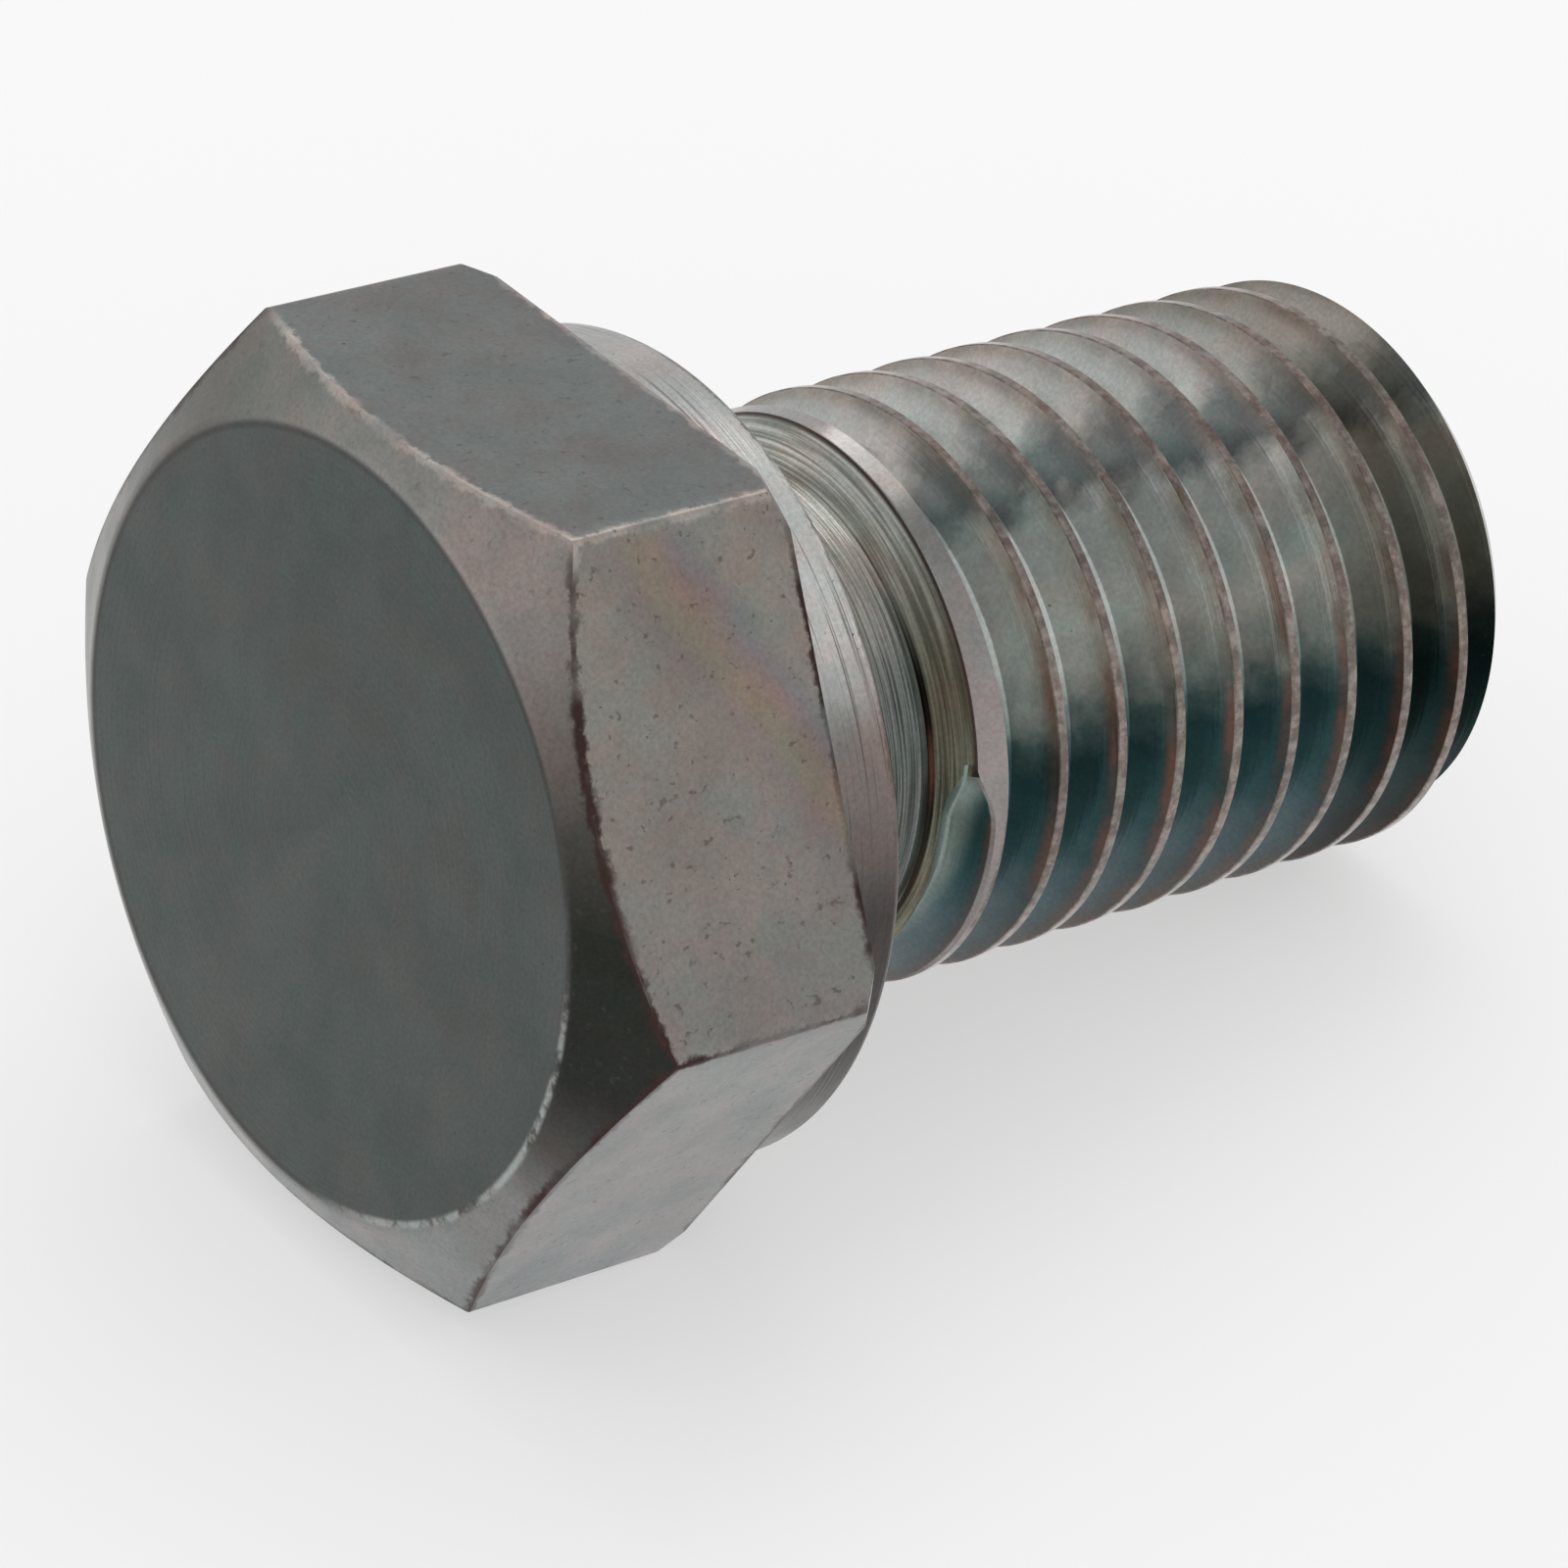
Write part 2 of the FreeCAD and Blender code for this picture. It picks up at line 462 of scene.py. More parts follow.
# %% Aged plating: clouds
cool_tint = srgb(214, 236, 233)
warm_tint = srgb(250, 226, 220)
wide_cloud_size = 2.2
warmth_cloud_size = 1.6
grain_size = 0.09
aged, given, result = new_group(
    "aged_plating",
    [("Place", 'Vector', None), ("Colour", 'Color', (0.5, 0.5, 0.5, 1)), ("Clouds", 'Float', 0.5),
     ("Specks", 'Float', 0.5), ("Dashes", 'Float', 0.5), ("Gloss", 'Float', 0.25)],
    [("Colour", 'Color'), ("Roughness", 'Float'), ("Height", 'Float')])
place = given["Place"]
wide = noise(aged, place, wide_cloud_size, 6.0, 0.65)
shifted = each_axis(aged, 'ADD', place, (17.0, 5.0, 9.0))
warmth = noise(aged, shifted, warmth_cloud_size, 5.0, 0.65)
grain = noise(aged, place, grain_size, 2.0, 0.6)
cool_amount = calculate(aged, 'MULTIPLY', given["Clouds"], smooth(aged, warmth, 0.35, 0.65))
cool = blend(aged, cool_amount, given["Colour"], cool_tint, 'MULTIPLY')
warm_amount = calculate(aged, 'MULTIPLY', given["Clouds"], smooth(aged, warmth, 0.6, 0.38))
warm = blend(aged, warm_amount, cool, warm_tint, 'MULTIPLY')
shade = smooth(aged, wide, 0.3, 0.7, 0.9, 1.1)
shade = calculate(aged, 'MULTIPLY', shade, smooth(aged, grain, 0.25, 0.75, 0.9, 1.1))
grey_shade = node(aged, "CombineXYZ", {0: shade, 1: shade, 2: shade}).outputs[0]
shaded = each_axis(aged, 'MULTIPLY', warm, grey_shade)
print("aged_plating has", len(aged.nodes), "nodes for its clouds")

# %% [markdown]
# The specks are the middles of Voronoi cells. They come in swarms, where a wide noise is high,
# and a fine noise makes their rims ragged. The dashes are the tops of a stretched noise.

# %% Aged plating: specks and dashes
speck_colour = srgb(62, 52, 48)
dash_colour = srgb(84, 76, 72)
specks_per_mm = 2.6
speck_swarm_size = 2.2
largest_speck = 0.16
dash_stretch = (4.6, 6.0, 5.2)
cell_place = {"Vector": place, "Scale": specks_per_mm, "Randomness": 1.0}
cells = node(aged, "TexVoronoi", cell_place)
speck_swarm = noise(aged, place, speck_swarm_size, 2.0)
speck_reach = calculate(aged, 'MULTIPLY', smooth(aged, speck_swarm, 0.45, 0.75), given["Specks"])
speck_reach = calculate(aged, 'MULTIPLY', speck_reach, largest_speck)
ragged_rim = calculate(aged, 'ADD', cells.outputs["Distance"], calculate(aged, 'MULTIPLY', grain, 0.12))
speck = smooth(aged, calculate(aged, 'SUBTRACT', ragged_rim, speck_reach), 0.08, 0.03)
specked = blend(aged, calculate(aged, 'MULTIPLY', speck, 0.7), shaded, speck_colour)
dash = noise(aged, each_axis(aged, 'MULTIPLY', place, dash_stretch), 1.0, 3.0, 0.55)
dash_mask = calculate(aged, 'MULTIPLY', smooth(aged, dash, 0.62, 0.7), given["Dashes"])
dashed = blend(aged, dash_mask, specked, dash_colour)
rough = calculate(aged, 'ADD', given["Gloss"], smooth(aged, warmth, 0.3, 0.7, -0.04, 0.06))
height = calculate(aged, 'SUBTRACT', calculate(aged, 'MULTIPLY', grain, 0.3), speck)
height = calculate(aged, 'SUBTRACT', height, dash_mask)
aged.links.new(dashed, result["Colour"])
aged.links.new(rough, result["Roughness"])
aged.links.new(height, result["Height"])
print("aged_plating has", len(aged.nodes), "nodes in all")

# %% [markdown]
# Thin zinc shows a faint rainbow where it is a little thicker. The colours follow one another
# across the film, from -1 to 1, and fade out on both sides.

# %% Rainbow film
clear = (1, 1, 1, 1)
film_colours = (
    (0.26, srgb(246, 228, 234)), (0.42, srgb(252, 238, 208)), (0.56, srgb(255, 222, 206)),
    (0.68, srgb(240, 212, 226)), (0.78, srgb(222, 222, 242)), (0.88, srgb(228, 240, 244)))
film, given, result = new_group(
    "rainbow_film",
    [("Colour", 'Color', (0.5, 0.5, 0.5, 1)), ("Across", 'Float', 0.0), ("Strength", 'Float', 1.0)],
    [("Colour", 'Color')])
film_width = {"Value": given["Across"], "From Min": -1.0, "From Max": 1.0}
rainbow = node(film, "ValToRGB", {"Fac": node(film, "MapRange", film_width).outputs[0]})
stops = rainbow.color_ramp.elements
stops[0].position = 0.0
stops[0].color = clear
stops[1].position = 1.0
stops[1].color = clear
for position, colour in film_colours:
    stops.new(position).color = colour
filmed = blend(film, given["Strength"], given["Colour"], rainbow.outputs["Color"], 'MULTIPLY')
film.links.new(filmed, result["Colour"])
print("rainbow_film has", len(film.nodes), "nodes and", len(stops), "colours")

# %% [markdown]
# Each region of the plug gets its own material, because each was made by another tool: the
# faced front, the drawn flats, the turned collar, the neck and the cut thread. All end in
# the same metal shader, so this function adds the parts that they share.

# %% One metal for all regions
relief_depth = 0.00001
aged_relief = 0.25


def turned_lines(tree, where, lines_across, spacing):
    """The turning lines on a surface, spaced along the plug or away from its axis."""
    sockets = {"Across": where[lines_across], "Turn": where["Turn"], "Spacing": spacing}
    return use_group(tree, turning, sockets)["Lines"]


def metal(name, colour_of, clouds, specks, dashes, gloss, lines_across, spacing, bump):
    """A plated material. colour_of draws the clean colour from the place on the lathe."""
    material = bpy.data.materials.new(name)
    material.use_nodes = True
    tree = material.node_tree
    coordinates = node(tree, "TexCoord").outputs["Object"]
    where = use_group(tree, lathe, {"Object": coordinates})
    old = use_group(tree, aged, {
        "Place": where["Place"], "Colour": colour_of(tree, where), "Clouds": clouds, "Specks": specks,
        "Dashes": dashes, "Gloss": gloss})
    lines = turned_lines(tree, where, lines_across, spacing)
    line_height = calculate(tree, 'MULTIPLY', lines, bump)
    height = calculate(tree, 'ADD', line_height, calculate(tree, 'MULTIPLY', old["Height"], aged_relief))
    relief = node(tree, "Bump", {"Height": height, "Distance": relief_depth, "Strength": 1.0})
    shader = tree.nodes["Principled BSDF"]
    shader.inputs["Metallic"].default_value = 1
    tree.links.new(old["Colour"], shader.inputs["Base Color"])
    tree.links.new(old["Roughness"], shader.inputs["Roughness"])
    tree.links.new(relief.outputs["Normal"], shader.inputs["Normal"])
    plug.data.materials.append(material)
    print(name, "has", len(tree.nodes), "nodes")


# %% [markdown]
# Colours change round the plug, partly because it was rubbed and oiled on some sides only and partly
# as painted light, shade and reflections. Edges wear most, so the next helpers also measure how far
# a point lies from the edges of the hexagon.

# %% Colours round the plug and wear along its edges
def by_turn(tree, where, stops):
    """Colours set round the plug. Each stop is an angle above the viewer's side, in degrees."""
    ramp = node(tree, "ValToRGB", {"Fac": where["Turn"]})
    elements = ramp.color_ramp.elements
    elements[0].position = stops[0][0] / 360 + 0.5
    elements[0].color = stops[0][1]
    elements[1].position = stops[-1][0] / 360 + 0.5
    elements[1].color = stops[-1][1]
    for degrees, colour in stops[1:-1]:
        elements.new(degrees / 360 + 0.5).color = colour
    return ramp.outputs["Color"]


def edge_wear(tree, where, colour, edge_colour, distance, width):
    """The edge's own colour, ragged, where the distance to the edge is under the width."""
    ragged = noise(tree, where["Place"], 0.5, 5.0, 0.7)
    reach = calculate(tree, 'MULTIPLY', smooth(tree, ragged, 0.3, 0.7, 0.3, 1.7), width)
    mask = smooth(tree, calculate(tree, 'DIVIDE', distance, reach), 1.1, 0.3)
    patches = smooth(tree, noise(tree, where["Place"], 1.3, 3.0), 0.35, 0.6, 0.35, 1.0)
    return blend(tree, calculate(tree, 'MULTIPLY', mask, patches), colour, edge_colour)


def share_of_radius(tree, where, operation):
    """The radius times the sine or cosine of the angle from the middle of the nearest flat."""
    sixths = calculate(tree, 'MULTIPLY', where["Turn"], 6.0)
    inside_sixth = calculate(tree, 'SUBTRACT', calculate(tree, 'FRACT', sixths), 0.5)
    angle_from_middle = calculate(tree, 'MULTIPLY', inside_sixth, math.tau / 6)
    return calculate(tree, 'MULTIPLY', where["Radius"], calculate(tree, operation, angle_from_middle))


def flat_distance(tree, where):
    """How far a point lies inside the nearest flat."""
    return calculate(tree, 'SUBTRACT', across_flats / 2, share_of_radius(tree, where, 'COSINE'))


def long_edge_distance(tree, where):
    """How far a point on a flat lies from the nearest long edge."""
    aside = calculate(tree, 'ABSOLUTE', share_of_radius(tree, where, 'SINE'))
    return calculate(tree, 'SUBTRACT', corner_radius / 2, aside)


def cone_distance(tree, where):
    """How far a point lies inside the cone that the front corners were turned to."""
    slope = 1 / math.tan(face_chamfer_angle)
    cone_radius = calculate(tree, 'ADD', calculate(tree, 'MULTIPLY', where["Along"], slope), face_radius)
    inside = calculate(tree, 'SUBTRACT', cone_radius, where["Radius"])
    return calculate(tree, 'MULTIPLY', inside, math.sin(face_chamfer_angle))


def grey(share):
    """A colour that only tells a share, from 0 to 1."""
    return (share, share, share, 1)


print("one flat spans", round(math.degrees(math.tau / 6)), "degrees of the turn")

# %% [markdown]
# The front was faced and its corners turned off. The face is darker and more blue-green than the
# rest, its darkness a painted reflection, and the cone round it goes from pale to nearly black in
# painted reflections. A dark ring marks the rim of the face, and low on the viewer's side a painted
# highlight runs along the rim in a broken line. The stops below give the colours round the plug,
# each at an angle above the viewer's side.

# %% Front of the head
bare = srgb(178, 168, 163)
brown = srgb(62, 48, 46)
# The face's colour is darker than its plating, a painted reflection.
face_colour = srgb(79, 85, 83)
ring_colour = srgb(60, 56, 53)
# The next colour is a painted highlight on the rim of the face.
rim_highlight_colour = srgb(168, 174, 172)
# The cone's colours round the plug are painted reflections, nearly black near the viewer's side.
cone_painted_reflection_colours = (
    (-180, srgb(120, 120, 116)), (-60, srgb(134, 136, 136)), (-34, srgb(132, 134, 133)),
    (-20, srgb(84, 82, 80)), (-8, srgb(50, 51, 49)), (14, srgb(44, 47, 42)), (28, srgb(76, 74, 71)),
    (42, srgb(116, 110, 106)), (60, srgb(150, 143, 140)), (100, srgb(136, 134, 130)),
    (128, srgb(102, 102, 97)), (180, srgb(120, 120, 116)))
# Where the painted highlight lies round the plug.
rim_highlight_shares = (
    (-180, grey(0)), (-84, grey(0)), (-66, grey(0.8)), (-10, grey(0.9)), (8, grey(0.3)), (18, grey(0)),
    (180, grey(0)))
front_edge_colours = (
    (-180, brown), (57, brown), (61, bare), (117, bare), (121, brown), (180, brown))
ring_radius = face_radius - 0.14
ring_strength = 0.6
rim_highlight_radius = face_radius - 0.12


def front_colour(tree, where):
    """The face, darkened as a painted reflection, inside the cone's painted reflections, with a dark ring
    and a painted highlight on its rim.
    """
    rim = smooth(tree, where["Radius"], face_radius - 0.2, face_radius + 0.02)
    colour = blend(tree, rim, face_colour, by_turn(tree, where, cone_painted_reflection_colours))
    from_ring = apart(tree, where["Radius"], ring_radius)
    ring = calculate(tree, 'MULTIPLY', smooth(tree, from_ring, 0.12, 0.0), ring_strength)
    colour = blend(tree, ring, colour, ring_colour)
    # A broken painted highlight along the rim, low on the viewer's side.
    line = smooth(tree, apart(tree, where["Radius"], rim_highlight_radius), 0.13, 0.02)
    broken = smooth(tree, noise(tree, where["Place"], 0.9, 4.0, 0.65), 0.38, 0.55)
    broken_line = calculate(tree, 'MULTIPLY', line, broken)
    wear_and_highlight = calculate(tree, 'MULTIPLY', broken_line, by_turn(tree, where, rim_highlight_shares))
    colour = blend(tree, wear_and_highlight, colour, rim_highlight_colour)
    edge = by_turn(tree, where, front_edge_colours)
    return edge_wear(tree, where, colour, edge, flat_distance(tree, where), 0.14)


metal("front_plating", front_colour, clouds=0.35, specks=0.5, dashes=0.25, gloss=0.32,
      lines_across="Radius", spacing=0.1, bump=0.5)

# %% [markdown]
# The flats keep the skin of the drawn bar. Each flat has its own tone, a painted reflection: the top
# one is darkest, the two on the viewer's side lighter. Their edges are worn bright on top, and dark
# with old oil where no spanner rubs them. A faint rainbow runs askew over the flats below the top
# one. On the rear side of the hexagon only the outer rim is worn.

# %% Flats of the hexagon
# Each flat's own tone is a painted reflection.
flat_tones_with_painted_reflection = (
    (-180, srgb(122, 121, 118)), (-61, srgb(126, 126, 125)), (-59, srgb(128, 129, 130)),
    (-1, srgb(138, 138, 136)), (1, srgb(132, 129, 126)), (59, srgb(143, 137, 131)),
    (61, srgb(110, 113, 112)), (119, srgb(110, 112, 111)), (180, srgb(122, 121, 118)))
flat_edge_colours = (
    (-180, brown), (56, brown), (58, bare), (117, bare), (121, brown), (180, brown))
rainbow_slant = (1.67, 0.5, 0.866)
rainbow_middle = 9.8
rainbow_half_width = 2.4
rainbow_wander = 2.4
rainbow_strength = 0.6


def rainbow_over(tree, where, colour):
    """The colour with the rainbow film, which runs askew and wanders a little."""
    slant = node(tree, "VectorMath", {0: where["Place"], 1: rainbow_slant}, operation='DOT_PRODUCT')
    wander = calculate(tree, 'MULTIPLY', noise(tree, where["Place"], 2.5, 3.0), rainbow_wander)
    wandering = calculate(tree, 'ADD', slant.outputs["Value"], wander)
    from_middle = calculate(tree, 'SUBTRACT', wandering, rainbow_middle)
    across = calculate(tree, 'DIVIDE', from_middle, rainbow_half_width)
    strength = smooth(tree, where["Turn"], 0.667, 0.66, 0.0, rainbow_strength)
    return use_group(tree, film, {"Colour": colour, "Across": across, "Strength": strength})["Colour"]


def flats_colour(tree, where):
    """The drawn skin of the bar, with a painted reflection tone on each flat, under its rainbow, with the
    wear along the edges.
    """
    filmed = rainbow_over(tree, where, by_turn(tree, where, flat_tones_with_painted_reflection))
    to_rear = calculate(tree, 'SUBTRACT', hexagon_height, where["Along"])
    to_rear_edge = calculate(tree, 'MAXIMUM', to_rear, flat_distance(tree, where))
    to_long_edge = long_edge_distance(tree, where)
    nearest = calculate(tree, 'MINIMUM', to_long_edge, cone_distance(tree, where))
    nearest = calculate(tree, 'MINIMUM', nearest, to_rear_edge)
    return edge_wear(tree, where, filmed, by_turn(tree, where, flat_edge_colours), nearest, 0.15)


metal("flats_plating", flats_colour, clouds=0.4, specks=0.8, dashes=0.6, gloss=0.3,
      lines_across="Radius", spacing=0.5, bump=0.1)

# %% [markdown]
# The collar was turned with a coarse feed, so its rings show, and dirt sticks in them. The side
# that faces down is darker, a painted shade, and the upper side towards the viewer is lighter, a
# painted highlight. The seat behind it is the cleanest face of the plug.

# %% Collar
# Round the collar: painted shade below, and a painted highlight on the upper side towards the viewer.
collar_painted_light_and_shade = (
    (-180, srgb(130, 128, 124)), (-60, srgb(70, 66, 65)), (5, srgb(72, 68, 67)),
    (15, srgb(108, 100, 98)), (30, srgb(138, 130, 127)), (44, srgb(206, 205, 203)),
    (66, srgb(206, 205, 203)), (84, srgb(172, 170, 168)), (180, srgb(130, 128, 124)))
seat_colour = srgb(216, 215, 210)
ring_dirt_colour = srgb(84, 72, 68)
collar_rim_colour = srgb(92, 80, 74)
collar_rim_x = seat_x - 0.12


def collar_colour(tree, where):
    """The turned collar with its painted shade and highlight and the dirt in its rings, and the pale seat
    behind it.
    """
    on_seat = smooth(tree, where["Along"], seat_x - 0.02, seat_x - 0.005)
    clean = blend(tree, on_seat, by_turn(tree, where, collar_painted_light_and_shade), seat_colour)
    dirt = smooth(tree, turned_lines(tree, where, "Along", 0.06), 0.56, 0.68, 0.0, 0.7)
    lined = blend(tree, dirt, clean, ring_dirt_colour)
    return edge_wear(tree, where, lined, collar_rim_colour, apart(tree, where["Along"], collar_rim_x), 0.1)


metal("collar_plating", collar_colour, clouds=0.4, specks=0.7, dashes=0.2, gloss=0.3,
      lines_across="Along", spacing=0.07, bump=1.2)

# %% [markdown]
# The neck is dark between fine bright lines, and scratched pale on top. The cone of the shoulder
# has an olive tint. The corner between them holds painted shade, nearly black, and dried oil,
# reddish in one short stretch, and a brown line follows the shoulder's rim.

# %% Neck
neck_dark = srgb(66, 70, 67)
neck_pale = srgb(118, 122, 118)
olive_dark = srgb(84, 83, 72)
olive_pale = srgb(124, 121, 108)
scratch_dark = srgb(138, 136, 130)
scratch_pale = srgb(206, 204, 199)
shoulder_rim_colour = srgb(74, 64, 60)
upper_middle = 0.79
# Painted shade and dried oil lie in the corner between the neck and the shoulder.
oil_and_shade_x = neck_end_x + 0.14
oil_and_painted_shade_colours = (
    (-180, srgb(50, 44, 40)), (4, srgb(50, 44, 40)), (11, srgb(94, 62, 54)), (17, srgb(94, 62, 54)),
    (24, srgb(30, 26, 24)), (90, srgb(30, 26, 24)), (180, srgb(50, 44, 40)))


def neck_colour(tree, where):
    """The neck and the cone of the shoulder, with painted shade and dried oil between them."""
    lines = turned_lines(tree, where, "Along", 0.05)
    on_cone = smooth(tree, where["Along"], neck_end_x + 0.12, neck_end_x + 0.2)
    darker = blend(tree, on_cone, neck_dark, olive_dark)
    paler = blend(tree, on_cone, neck_pale, olive_pale)
    lined = blend(tree, smooth(tree, lines, 0.35, 0.65), darker, paler)
    scratched = blend(tree, smooth(tree, lines, 0.4, 0.66), scratch_dark, scratch_pale)
    from_top = apart(tree, where["Turn"], upper_middle)
    upper_side = smooth(tree, from_top, 0.21, 0.09)
    clean = blend(tree, upper_side, lined, scratched)
    # Painted shade and dried oil in the corner, weaker near the top.
    corner = smooth(tree, apart(tree, where["Along"], oil_and_shade_x), 0.07, 0.04)
    oil_and_shade = calculate(tree, 'MULTIPLY', corner, smooth(tree, from_top, 0.14, 0.2, 0.2, 1.0))
    oiled_and_shaded = blend(tree, oil_and_shade, clean, by_turn(tree, where, oil_and_painted_shade_colours))
    rim = smooth(tree, where["Along"], shoulder_x - 0.1, shoulder_x - 0.03)
    return blend(tree, rim, oiled_and_shaded, shoulder_rim_colour)


metal("neck_plating", neck_colour, clouds=0.4, specks=0.2, dashes=0.1, gloss=0.24,
      lines_across="Along", spacing=0.05, bump=1.0)

# %% [markdown]
# The cut thread is the shiniest part, and what happens on it follows the helix. So a point is
# placed by how far it lies past the last crest, as a share of the pitch: at 0 is the middle of
# a crest, then come the flank towards the tip, the root at 0.5 and the flank towards the head.

# %% A place on the thread
def past_crest(tree, where):
    """How far a point lies past the middle of the last crest, as a share of the pitch."""
    from_top_crest = calculate(tree, 'SUBTRACT', where["Along"], crest_x_on_top)
    in_pitches = calculate(tree, 'DIVIDE', from_top_crest, pitch)
    share = calculate(tree, 'FRACT', calculate(tree, 'ADD', in_pitches, where["Turn"]))
    return calculate(tree, 'FRACT', calculate(tree, 'ADD', share, 0.25))


def on_land(tree, where):
    """A mask of the uncut band on the shoulder, before the first crest."""
    rise = (crest_radius - shoulder_radius) / (taper_aim_x - shoulder_x)
    foot = shoulder_radius - shoulder_x * rise
    land_radius = calculate(tree, 'ADD', calculate(tree, 'MULTIPLY', where["Along"], rise), foot)
    near_land = smooth(tree, apart(tree, where["Radius"], land_radius), 0.06, 0.03)
    before_thread = smooth(tree, where["Along"], taper_aim_x, full_thread_x)
    return calculate(tree, 'MULTIPLY', near_land, before_thread)


print("share of the pitch that a crest takes", round(crest_width / pitch, 3))

# %% [markdown]
# Painted reflections darken the thread low on the viewer's side and in a narrow blotch near the
# top, and lighten it between them. A brown line beside each crest is a painted reflection, redder
# where rust has begun, and a dark one at the foot of the far flank is painted shade with some dirt.
# The groove is darker towards the tip, most on the viewer's side.

# %% Flanks of the thread
# The flank's colours round the plug are painted reflections.
flank_painted_reflection_colours = (
    (-180, srgb(160, 162, 160)), (-60, srgb(98, 106, 109)), (-24, srgb(78, 94, 99)),
    (-8, srgb(50, 78, 81)), (7, srgb(40, 66, 69)), (14, srgb(72, 92, 92)), (24, srgb(150, 156, 152)),
    (36, srgb(194, 200, 196)), (58, srgb(198, 204, 202)), (66, srgb(114, 123, 124)),
    (76, srgb(120, 126, 126)), (86, srgb(194, 194, 191)), (180, srgb(160, 162, 160)))
far_flank_colour = srgb(190, 190, 187)
# A painted reflection tints the flank brown beside each crest.
crest_side_reflection_tint = srgb(228, 222, 218)
rust_colours = (
    (-180, srgb(110, 98, 92)), (-30, srgb(96, 84, 78)), (-5, srgb(104, 72, 62)),
    (25, srgb(108, 76, 66)), (55, srgb(132, 122, 116)), (120, srgb(139, 130, 125)),
    (180, srgb(110, 98, 92)))
# Painted shade, with some dirt, at the foot of the far flank.
foot_shade_place = 0.44
foot_shade_colour = srgb(46, 46, 44)
# The groove is made darker towards the tip, most on the viewer's side.
tip_darkening = (
    (-180, srgb(210, 208, 204)), (-40, srgb(190, 188, 184)), (0, srgb(176, 174, 168)),
    (38, srgb(182, 178, 171)), (66, srgb(216, 212, 206)), (180, srgb(210, 208, 204)))
first_groove_colour = srgb(128, 138, 134)
# How far the edges of the painted reflections wander.
reflection_band_wander = 0.05


def flank_colour(tree, where):
    """The groove of the thread with its painted reflections, and the lines that follow the helix."""
    place = where["Place"]
    uneven = calculate(tree, 'SUBTRACT', noise(tree, place, 0.9, 4.0, 0.6), 0.5)
    wander = calculate(tree, 'MULTIPLY', uneven, reflection_band_wander)
    wandering = {"Turn": calculate(tree, 'ADD', where["Turn"], wander)}
    from_crest = past_crest(tree, where)
    far_flank = smooth(tree, from_crest, 0.38, 0.34)
    clean = blend(tree, far_flank, by_turn(tree, wandering, flank_painted_reflection_colours), far_flank_colour)
    # The flank beside each crest, tinted by a painted reflection.
    reflection_tinted = blend(tree, smooth(tree, from_crest, 0.7, 0.92), clean, crest_side_reflection_tint, 'MULTIPLY')
    patches = smooth(tree, noise(tree, place, 1.4, 4.0, 0.6), 0.35, 0.65, 0.15, 0.8)
    rust = calculate(tree, 'MULTIPLY', smooth(tree, from_crest, 0.82, 0.91), patches)
    stained = blend(tree, rust, reflection_tinted, by_turn(tree, where, rust_colours))
    # Painted shade at the foot of the far flank.
    foot = smooth(tree, apart(tree, from_crest, foot_shade_place), 0.06, 0.03)
    foot_shaded = blend(tree, foot, stained, foot_shade_colour)
    # Darker towards the tip.
    toward_tip = smooth(tree, where["Along"], 20.8, 22.4)
    darker_to_tip = blend(tree, toward_tip, foot_shaded, by_turn(tree, where, tip_darkening), 'MULTIPLY')
    return blend(tree, smooth(tree, where["Along"], 11.6, 11.3), darker_to_tip, first_groove_colour)


print("the flank's colours have", len(flank_painted_reflection_colours), "stops")

# %% [markdown]
# The crests are rubbed paler in patches, the uncut band on the shoulder is pale with painted shade
# a little below its top, and the flat end of the tip has one plain colour.

# %% Thread
crest_dark = srgb(110, 100, 95)
crest_pale = srgb(152, 142, 137)
# The uncut band is pale, with painted shade a little below its top.
land_colours_with_painted_shade = (
    (-180, srgb(150, 144, 142)), (10, srgb(146, 138, 137)), (44, srgb(162, 158, 156)),
    (62, srgb(140, 137, 134)), (76, srgb(140, 137, 134)), (90, srgb(176, 172, 170)),
    (180, srgb(150, 144, 142)))
end_face_colour = srgb(138, 139, 135)


def thread_colour(tree, where):
    """The whole thread, from the shoulder's uncut band to the end face."""
    below_crest = calculate(tree, 'SUBTRACT', crest_radius, where["Radius"])
    wear_and_highlight = smooth(tree, noise(tree, where["Place"], 0.35, 3.0, 0.7), 0.35, 0.7)
    rubbed_crest = blend(tree, wear_and_highlight, crest_dark, crest_pale)
    crested = blend(tree, smooth(tree, below_crest, 0.04, 0.02), flank_colour(tree, where), rubbed_crest)
    landed = blend(tree, on_land(tree, where), crested, by_turn(tree, where, land_colours_with_painted_shade))
    end_face = smooth(tree, where["Along"], tip_x - 0.04, tip_x - 0.01)
    return blend(tree, end_face, landed, end_face_colour)


metal("thread_plating", thread_colour, clouds=0.3, specks=0.4, dashes=0.0, gloss=0.2,
      lines_across="Radius", spacing=0.08, bump=0.4)

# %% [markdown]
# Now each face of the mesh is given to the region that it lies in. The mesh is back in the
# lathe's terms for this, through the inverse of the move that laid the plug down.

# %% Give the faces to their regions
regions = {"front": 0, "flats": 1, "collar": 2, "neck": 3, "thread": 4}
to_lathe = laid_down.inverted()
cone_slope = (shoulder_radius - neck_radius) / (shoulder_x - cone_x)
plane_reach = 0.01
fillet_reach = 0.4
cone_reach = 0.02
facing_front = -0.2


def region_at(along, radius, facing):
    """The region of a face, by its place on the lathe and the way that it faces."""
    if along <= hexagon_height + plane_reach:
        return "front" if facing.x < facing_front else "flats"
    if along < seat_x + plane_reach and radius > neck_radius + fillet_reach:
        return "collar"
    cone_here = neck_radius + (along - cone_x) * cone_slope
    on_cone = along < shoulder_x and abs(radius - cone_here) < cone_reach
    return "neck" if along < cone_x or on_cone else "thread"


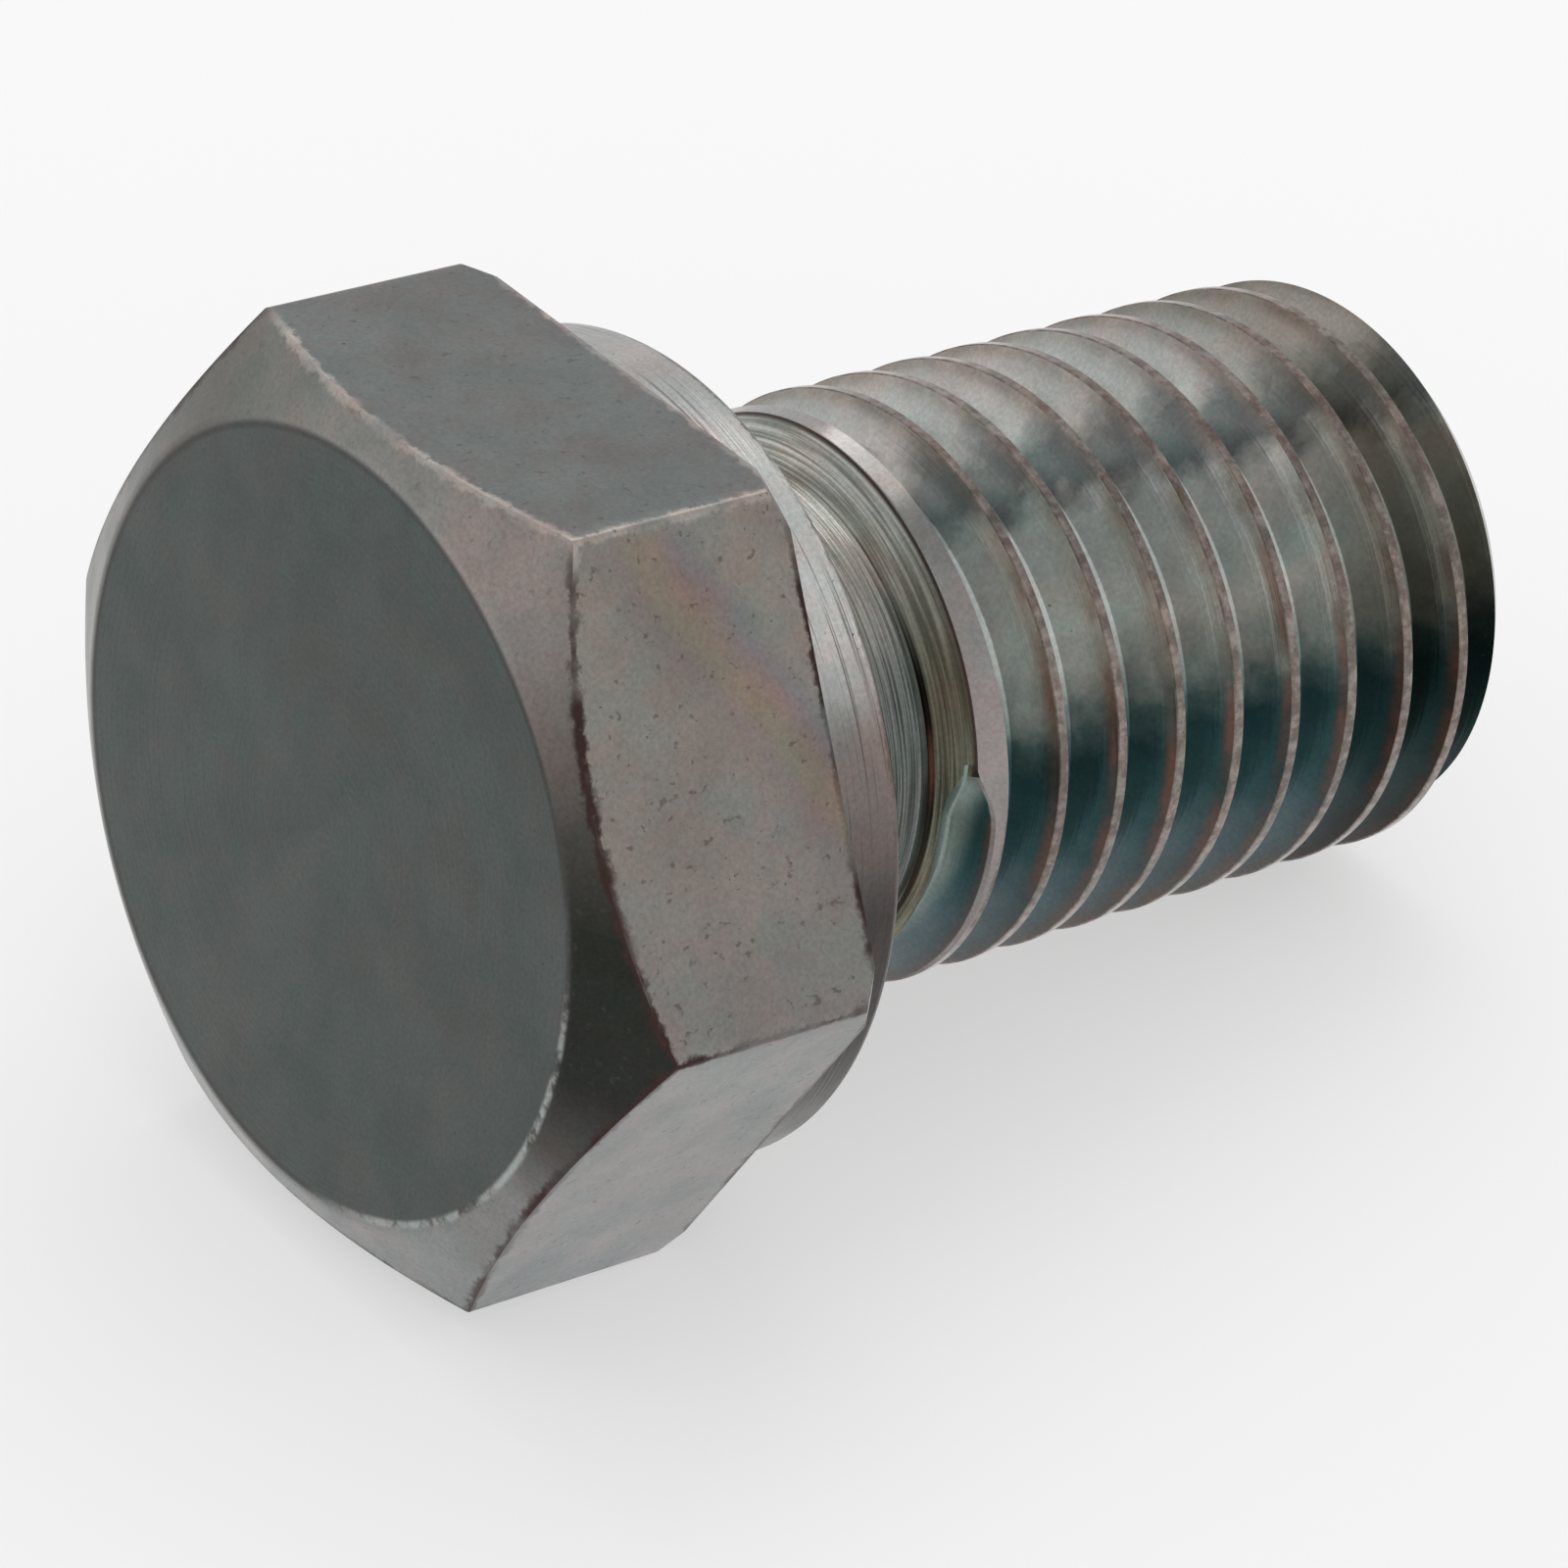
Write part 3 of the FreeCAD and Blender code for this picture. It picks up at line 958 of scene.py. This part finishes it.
counts = dict.fromkeys(regions, 0)
for face in plug.data.polygons:
    spot = to_lathe @ face.center
    facing = (to_lathe.to_3x3() @ face.normal).normalized()
    region = region_at(spot.x, math.hypot(spot.y, spot.z), facing)
    face.material_index = regions[region]
    counts[region] += 1
print("faces of each region", counts)

# %% [markdown]
# The plug lies on a plain sheet of white paper. The camera sees the paper half as lit and half
# as pure white, so the background is white and a soft shadow stays. Shiny metal mirrors it as white.

# %% The floor
paper_white = 0.93
seen_white = 0.5
mirrored_white = 0.85
bpy.ops.object.select_all(action='DESELECT')
bpy.ops.mesh.primitive_plane_add(size=2, location=(0, 0, 0))
floor = bpy.context.object
floor.name = "floor"
paper = bpy.data.materials.new("white_paper")
paper.use_nodes = True
paper_tree = paper.node_tree
paper_shader = paper_tree.nodes["Principled BSDF"]
paper_shader.inputs["Base Color"].default_value = grey(paper_white)
paper_shader.inputs["Roughness"].default_value = 0.9
paper_shader.inputs["Specular IOR Level"].default_value = 0.1
light_path = node(paper_tree, "LightPath").outputs
seen = calculate(paper_tree, 'MULTIPLY', light_path["Is Camera Ray"], seen_white)
mirrored = calculate(paper_tree, 'MULTIPLY', light_path["Is Glossy Ray"], mirrored_white)
mirrored = calculate(paper_tree, 'MAXIMUM', mirrored, light_path["Is Transmission Ray"])
share = calculate(paper_tree, 'MAXIMUM', seen, mirrored)
white = node(paper_tree, "Emission", {"Color": grey(1), "Strength": 1.0}).outputs["Emission"]
shaders = {0: share, 1: paper_shader.outputs["BSDF"], 2: white}
mixed = node(paper_tree, "MixShader", shaders).outputs[0]
paper_tree.links.new(mixed, paper_tree.nodes["Material Output"].inputs["Surface"])
floor.data.materials.append(paper)
print("floor is", round(floor.dimensions.x, 2), "m wide")

# %% [markdown]
# Plain light comes from all round, as from a white tent. What metal mirrors is a little greyer
# overhead than at the horizon, which gives the turned faces their soft changes of shade.

# %% The light from all round
tent_light = 0.8
tent_seen = 0.95
overhead_grey = 0.7
world = bpy.data.worlds.new("studio")
bpy.context.scene.world = world
world.use_nodes = True
sky = world.node_tree
plain_light = sky.nodes["Background"]
plain_light.inputs["Color"].default_value = grey(1)
plain_light.inputs["Strength"].default_value = tent_light
above_horizon = node(sky, "SeparateXYZ", {0: node(sky, "TexCoord").outputs["Generated"]}).outputs["Z"]
tone = smooth(sky, above_horizon, 0.0, 0.9, 1.0, overhead_grey)
tent_colour = node(sky, "CombineColor", {0: tone, 1: tone, 2: tone}).outputs[0]
tent = node(sky, "Background", {"Color": tent_colour, "Strength": tent_seen}).outputs[0]
light_path = node(sky, "LightPath").outputs
mirrored = calculate(sky, 'MAXIMUM', light_path["Is Glossy Ray"], light_path["Is Transmission Ray"])
seen = calculate(sky, 'MAXIMUM', light_path["Is Camera Ray"], mirrored)
chosen = node(sky, "MixShader", {0: seen, 1: plain_light.outputs[0], 2: tent}).outputs[0]
sky.links.new(chosen, sky.nodes["World Output"].inputs["Surface"])
print("the tent's light has strength", tent_light)

# %% [markdown]
# One large soft lamp, above and behind the plug, lays its shadow on the floor towards the viewer.

# %% The lamp
lamp_aim = Vector((0, 0, 0.008))
lamp_data = bpy.data.lights.new("soft_key", 'AREA')
lamp_data.shape = 'DISK'
lamp_data.size = 0.2
lamp_data.energy = 0.12
lamp = bpy.data.objects.new("soft_key", lamp_data)
bpy.context.collection.objects.link(lamp)
lamp.location = (0.08, 0.10, 0.22)
lamp.rotation_euler = (lamp_aim - lamp.location).to_track_quat('-Z', 'Y').to_euler()
print("lamp is", round(lamp.location.length, 3), "m from the plug")

# %% [markdown]
# The camera stands where the photograph was taken from. Its place, aim, roll and lens were found
# by laying the plug's outline, corners and crests over the photograph.

# %% The camera
camera_place = Vector((-79.964, -100.293, 96.146)) * mm
camera_aim = Vector((-1.926, -0.732, 6.307)) * mm
camera_roll = math.radians(1.528)
camera_data = bpy.data.cameras.new("camera")
camera_data.lens = 180.557
camera_data.sensor_width = 36
camera_data.clip_start = 0.005
camera = bpy.data.objects.new("camera", camera_data)
bpy.context.collection.objects.link(camera)
towards = (camera_aim - camera_place).to_track_quat('-Z', 'Y').to_matrix().to_4x4()
camera.matrix_world = Matrix.Translation(camera_place) @ towards @ Matrix.Rotation(camera_roll, 4, 'Z')
bpy.context.scene.camera = camera
print("camera is", round((camera_aim - camera_place).length, 3), "m from its aim")

# %% [markdown]
# Colours are shown as they are, with no film look.

# %% Finish
bpy.context.scene.view_settings.view_transform = 'Standard'
bpy.context.view_layer.update()
